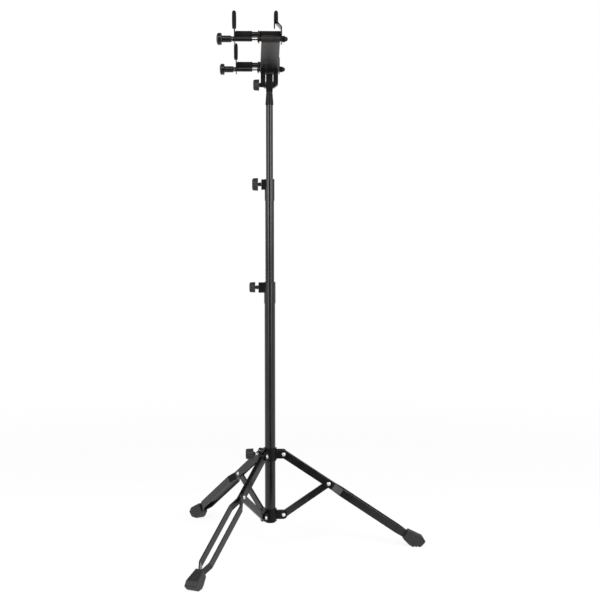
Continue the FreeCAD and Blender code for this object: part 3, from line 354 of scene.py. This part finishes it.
padLook = {"thickMm": 9.9, "widthMm": 32.8, "footMm": 29.0, "topMm": 64.4, "backMm": 5.0, "bendMm": 41.0,
           "bendGapMm": 0.1, "skinMm": 3.0, "softMm": 0.9, "crownMm": 0.35, "seamMm": 0.35,
           "seamWidthMm": 0.8, "rows": 64, "skinRows": 14, "softRows": 6, "topRows": 16, "steps": 144,
           "edge": 0.42, "fill": 0.85}


def padRows(fixed):
    # height, half thickness and sideways shift of each ring, from the flat foot to the round top
    look = padLook
    half = look["thickMm"] / 2
    soft = look["softMm"]
    quarter = np.linspace(0, np.pi / 2, look["softRows"], endpoint=False)
    rows = []
    start = look["footMm"]
    if fixed:
        skin = look["skinMm"] / 2
        shift = skin - half
        rows += [(start + soft * (1 - math.cos(t)), skin - soft * (1 - math.sin(t)), shift) for t in quarter]
        below = np.linspace(start + soft, look["bendMm"] - look["bendGapMm"], look["skinRows"])
        rows += [(z, skin, shift) for z in below]
        start = look["bendMm"]
    rows += [(start + soft * (1 - math.cos(t)), half - soft * (1 - math.sin(t)), 0) for t in quarter]
    crest = look["topMm"] - half
    rows += [(z, half, 0) for z in np.linspace(start + soft, crest, look["rows"])]
    rise = np.linspace(0, np.pi / 2, look["topRows"])[1:-1]
    rows += [(crest + half * math.sin(t), half * math.cos(t), 0) for t in rise]
    return np.array(rows)


def hookPad(node, cradle, fixed):
    # rings of rounded oblong section: the broad faces crown outwards a little, a parting seam
    # runs up both narrow edges and over the half round top
    look = padLook
    rows = padRows(fixed)
    around = np.linspace(0, 2 * np.pi, look["steps"], endpoint=False)[None, :]
    across = signedPower(np.cos(around), look["edge"])
    along = signedPower(np.sin(around), look["edge"])
    half = look["thickMm"] / 2
    level = rows[:, 0:1]
    thick = rows[:, 1:2]
    rise = (level - look["footMm"]) / (look["topMm"] - look["footMm"])
    crown = look["crownMm"] * (1 - along ** 2) * np.sin(np.pi * rise) * thick / half
    x = across * (thick - look["crownMm"] * thick / half) + np.sign(across) * crown
    seam = look["seamMm"] * np.exp(-(x / look["seamWidthMm"]) ** 2)
    y = along * (look["widthMm"] / 2 - (half - thick) * (rows[:, 2:3] == 0) - seam) + look["backMm"]
    z = level + 0 * around
    low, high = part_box(node)
    middle = np.array([(low.x + high.x) / 2 / mm, headLook["rodBackMm"][cradle], headLook["rodUpMm"]])
    points = np.stack([x + rows[:, 2:3], y, z], axis=-1) + middle
    bottom = np.array([rows[0, 2], look["backMm"], look["footMm"]]) + middle
    top = np.array([0, look["backMm"], look["topMm"] - look["seamMm"]]) + middle
    return closedBall(node.replace("_pad", "_foam_pad"), leanWithHead(points * mm),
                      leanWithHead(bottom * mm), leanWithHead(top * mm))


restLook = {"outerMm": 8.0, "boreMm": {"fixed": 7.0, "sliding": 6.2}, "boreGapMm": 0.2, "edgeMm": 0.7,
            "crownMm": 0.105, "dentMm": 0.4, "dentPower": 6, "steps": 96, "rows": 72, "endRows": 9,
            "boreRows": 24, "fill": 0.8}


def restSleeve(node, boreMm):
    # closed profile carried round the bar: flat bore, rounded ends, and an outer side that
    # crowns in the middle and is pressed a little flatter on top where the load lies
    look = restLook
    low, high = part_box(node)
    middle = nodeMiddle(node)
    half = (high.x - low.x) / 2 / mm
    edge = look["edgeMm"]
    bend = np.linspace(0, np.pi / 2, look["endRows"])
    outer = look["outerMm"]
    run = np.linspace(-half + edge, half - edge, look["rows"])
    xs = np.concatenate([-half + edge - edge * np.cos(bend), run, half - edge + edge * np.sin(bend),
                         np.linspace(half, -half, look["boreRows"])])
    crowned = outer + look["crownMm"] * (1 - (run / half) ** 2)
    rs = np.concatenate([outer - edge + edge * np.sin(bend), crowned, outer - edge + edge * np.cos(bend),
                         np.full(look["boreRows"], boreMm)])
    around = np.linspace(0, 2 * np.pi, look["steps"], endpoint=False)[None, :]
    upward = np.cos(around - math.radians(headLook["tiltDegrees"]))  # 1 on the side that faces up
    inward = np.clip(1 - (xs / half) ** 2, 0, 1)[:, None]  # 1 in the middle and 0 at both ends
    pressed = look["dentMm"] * np.clip(upward, 0, 1) ** look["dentPower"] * inward
    radius = rs[:, None] - np.where(rs[:, None] > boreMm + look["boreGapMm"], pressed, 0)
    x = xs[:, None] + 0 * around
    points = np.stack([x, radius * np.sin(around), radius * np.cos(around)], axis=-1) * mm + middle
    return closedTube(node.replace("_foam", "_sleeve"), points)


softPieces = []
for cradle in ("near", "far"):
    for side, body in (("fixed", "head"), ("sliding", cradle + "_jaw")):
        padNode = cradle + "_" + side + "_pad"
        restNode = cradle + "_" + side + "_rest_foam"
        softPieces.append((hookPad(padNode, cradle, side == "fixed"), padNode, body, padLook["fill"]))
        sleeve = restSleeve(restNode, restLook["boreMm"][side])
        softPieces.append((sleeve, restNode, body, restLook["fill"]))
for piece, node, body, fill in softPieces:
    piece.data.materials.append(finishes["foam"])
    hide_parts(node)
    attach(piece, body)
print("foam made:", len(softPieces), "pieces")


# photograph's viewpoint, found from the tube heights and the feet
cameraLook = {"xMm": -37.9, "yMm": -3300.7, "zMm": 955.6, "downDegrees": 5.46, "rightDegrees": 1.978,
              "focalPixels": 1315.2, "imagePixels": 600, "sensorMm": 36.0, "seesMetres": 100}


def photoCamera():
    look = cameraLook
    data = bpy.data.cameras.new("photo_camera")
    data.sensor_width = look["sensorMm"]
    data.lens = look["focalPixels"] / look["imagePixels"] * look["sensorMm"]
    data.clip_end = look["seesMetres"]
    camera = bpy.data.objects.new("photo_camera", data)
    camera.location = [look[key] * mm for key in ("xMm", "yMm", "zMm")]
    camera.rotation_euler = (math.radians(90 - look["downDegrees"]), 0, math.radians(-look["rightDegrees"]))
    scene.collection.objects.link(camera)
    scene.camera = camera


lampTint = "#fffafb"
lampAim = (0.0, 0.0, 0.75)
# lamps of the right side, which stand on the left side too, then those on the middle line, in metres
sideLamps = {
    "inner_strip": {"place": (1.27, -2.04, 1.4), "wide": 0.88, "high": 1.6, "watts": 29.0},
    "low_strip": {"place": (1.27, -2.04, 0.42), "wide": 0.88, "high": 0.45, "watts": 2.2},
    "outer_strip": {"place": (2.18, -1.01, 1.5), "wide": 1.9, "high": 1.6, "watts": 21.0},
}
middleLamps = {
    "front_top_strip": {"place": (0.0, -2.4, 2.9), "wide": 1.8, "high": 0.7, "watts": 20.0},
    "top_softbox": {"place": (0.0, -0.5, 3.0), "wide": 2.0, "high": 1.2, "watts": 24.0, "mirrored": False},
}


def softbox(name, look, side=1):
    data = bpy.data.lights.new(name, "AREA")
    data.shape = "RECTANGLE"
    data.size = look["wide"]
    data.size_y = look["high"]
    data.energy = look["watts"]
    data.color = hexColour(lampTint)[:3]
    lamp = bpy.data.objects.new(name, data)
    spot = np.array(look["place"]) * (side, 1, 1)
    lamp.location = spot
    lamp.visible_glossy = look.get("mirrored", True)
    ahead = np.array(lampAim) - spot
    flat = math.hypot(ahead[0], ahead[1])
    # an area lamp shines along its own -Z
    lamp.rotation_euler = (math.atan2(flat, -ahead[2]), 0, math.atan2(-ahead[0], ahead[1]))
    scene.collection.objects.link(lamp)


# lengths in metres, and the heading runs from -1 at the camera's side to 1 behind the stand
stageLook = {"floorReach": 30.0, "floorColour": "#f4f4f4", "floorRough": 0.9, "floorGlow": 0.84,
             "glowFrom": 0.5, "glowTo": 2.6, "ambient": 0.45, "frontMirror": 0.24, "headingFrom": 0.5,
             "headingTo": 0.95, "flagAway": 4.2, "flagWide": 1.2, "flagHigh": 3.0, "flagLift": 0.01,
             "clothTo": -0.45, "clothMiddle": -1.25, "clothLeft": -0.15, "clothRight": 0.6,
             "clothLift": 0.005, "clothColour": "#303030"}


def stagePlane(name, corners, material):
    mesh = bpy.data.meshes.new(name)
    mesh.from_pydata(corners, [], [tuple(range(len(corners)))])
    mesh.materials.append(material)
    plane = bpy.data.objects.new(name, mesh)
    scene.collection.objects.link(plane)
    return plane


def paleFloor():
    # matt white floor that shows as near white and still takes the object's shadow
    look = stageLook
    material = bpy.data.materials.new("matt_white_floor")
    material.use_nodes = True
    tree = material.node_tree
    shader = tree.nodes["Principled BSDF"]
    shader.inputs["Base Color"].default_value = hexColour(look["floorColour"])
    shader.inputs["Roughness"].default_value = look["floorRough"]
    seen = addNode(tree, "ShaderNodeLightPath")
    glow = addNode(tree, "ShaderNodeEmission", {"Color": (1, 1, 1, 1), "Strength": 1.0})
    shown = addNode(tree, "ShaderNodeMath", operation="MAXIMUM",
                    links={0: seen.outputs["Is Camera Ray"], 1: seen.outputs["Is Glossy Ray"]})
    direct = addNode(tree, "ShaderNodeMath", operation="MAXIMUM",
                     links={0: shown.outputs[0], 1: seen.outputs["Is Transmission Ray"]})
    place = addNode(tree, "ShaderNodeTexCoord").outputs["Object"]
    away = addNode(tree, "ShaderNodeVectorMath", links={0: place}, operation="LENGTH")
    glowRange = {"From Min": look["glowFrom"], "From Max": look["glowTo"], "To Min": look["floorGlow"],
                 "To Max": 1.0}
    grow = addNode(tree, "ShaderNodeMapRange", glowRange, {"Value": away.outputs["Value"]},
                   interpolation_type="SMOOTHSTEP")
    share = addNode(tree, "ShaderNodeMath", operation="MULTIPLY",
                    links={0: direct.outputs[0], 1: grow.outputs["Result"]})
    mixed = addNode(tree, "ShaderNodeMixShader",
                    links={0: share.outputs[0], 1: shader.outputs[0], 2: glow.outputs[0]})
    tree.links.new(mixed.outputs[0], tree.nodes["Material Output"].inputs["Surface"])
    reach = look["floorReach"]
    corners = [(-reach, -reach, 0), (reach, -reach, 0), (reach, reach, 0), (-reach, reach, 0)]
    stagePlane("floor", corners, material)


def darkFlags():
    # grey cloth behind the camera and on the floor, seen only in the gloss of the paint,
    # so that round tubes keep a dark line between two highlights
    look = stageLook
    material = bpy.data.materials.new("grey_flag_cloth")
    material.use_nodes = True
    shader = material.node_tree.nodes["Principled BSDF"]
    shader.inputs["Base Color"].default_value = hexColour(look["clothColour"])
    shader.inputs["Roughness"].default_value = 1.0
    shader.inputs["Specular IOR Level"].default_value = 0.0
    away = -look["flagAway"]
    wide = look["flagWide"]
    near = look["clothTo"]
    middle = look["clothMiddle"]
    left = look["clothLeft"]
    right = look["clothRight"]
    slim = wide * middle / away
    low = look["flagLift"]
    high = look["flagHigh"]
    wall = [(-wide, away, low), (wide, away, low), (wide, away, high), (-wide, away, high)]
    outline = [(-wide, away), (wide, away), (slim, middle), (right, middle), (right, near), (left, near),
               (left, middle), (-slim, middle)]
    cloth = [(x, y, look["clothLift"]) for x, y in outline]
    for name, corners in (("flag_wall", wall), ("flag_cloth", cloth)):
        flag = stagePlane(name, corners, material)
        flag.visible_camera = False
        flag.visible_diffuse = False
        flag.visible_shadow = False


def studioWorld():
    # even fill light, plain white wherever it is seen, and a white backdrop with a dim front
    # where it is mirrored
    look = stageLook
    world = bpy.data.worlds.new("studio")
    scene.world = world
    world.use_nodes = True
    tree = world.node_tree
    backdrop = tree.nodes["Background"]
    backdrop.inputs["Color"].default_value = (1, 1, 1, 1)
    seen = addNode(tree, "ShaderNodeLightPath")
    place = addNode(tree, "ShaderNodeTexCoord").outputs["Generated"]
    heading = addNode(tree, "ShaderNodeSeparateXYZ", links={0: place})
    mirrorRange = {"From Min": look["headingFrom"], "From Max": look["headingTo"],
                   "To Min": look["frontMirror"], "To Max": 1.0}
    mirrored = addNode(tree, "ShaderNodeMapRange", mirrorRange, {"Value": heading.outputs["Y"]},
                       interpolation_type="SMOOTHSTEP")
    glossy = addNode(tree, "ShaderNodeMath", operation="MAXIMUM",
                     links={0: seen.outputs["Is Glossy Ray"], 1: seen.outputs["Is Transmission Ray"]})
    level = addNode(tree, "ShaderNodeMapRange", {"To Min": look["ambient"]},
                    {"Value": glossy.outputs[0], "To Max": mirrored.outputs["Result"]})
    shown = addNode(tree, "ShaderNodeMapRange", {"To Max": 1.0},
                    {"Value": seen.outputs["Is Camera Ray"], "To Min": level.outputs["Result"]})
    tree.links.new(shown.outputs["Result"], backdrop.inputs["Strength"])


photoCamera()
for sideName, side in (("left", -1), ("right", 1)):
    for lampName, lampLook in sideLamps.items():
        softbox(sideName + "_" + lampName, lampLook, side)
for lampName, lampLook in middleLamps.items():
    softbox(lampName, lampLook)
paleFloor()
darkFlags()
studioWorld()
print("stage set")
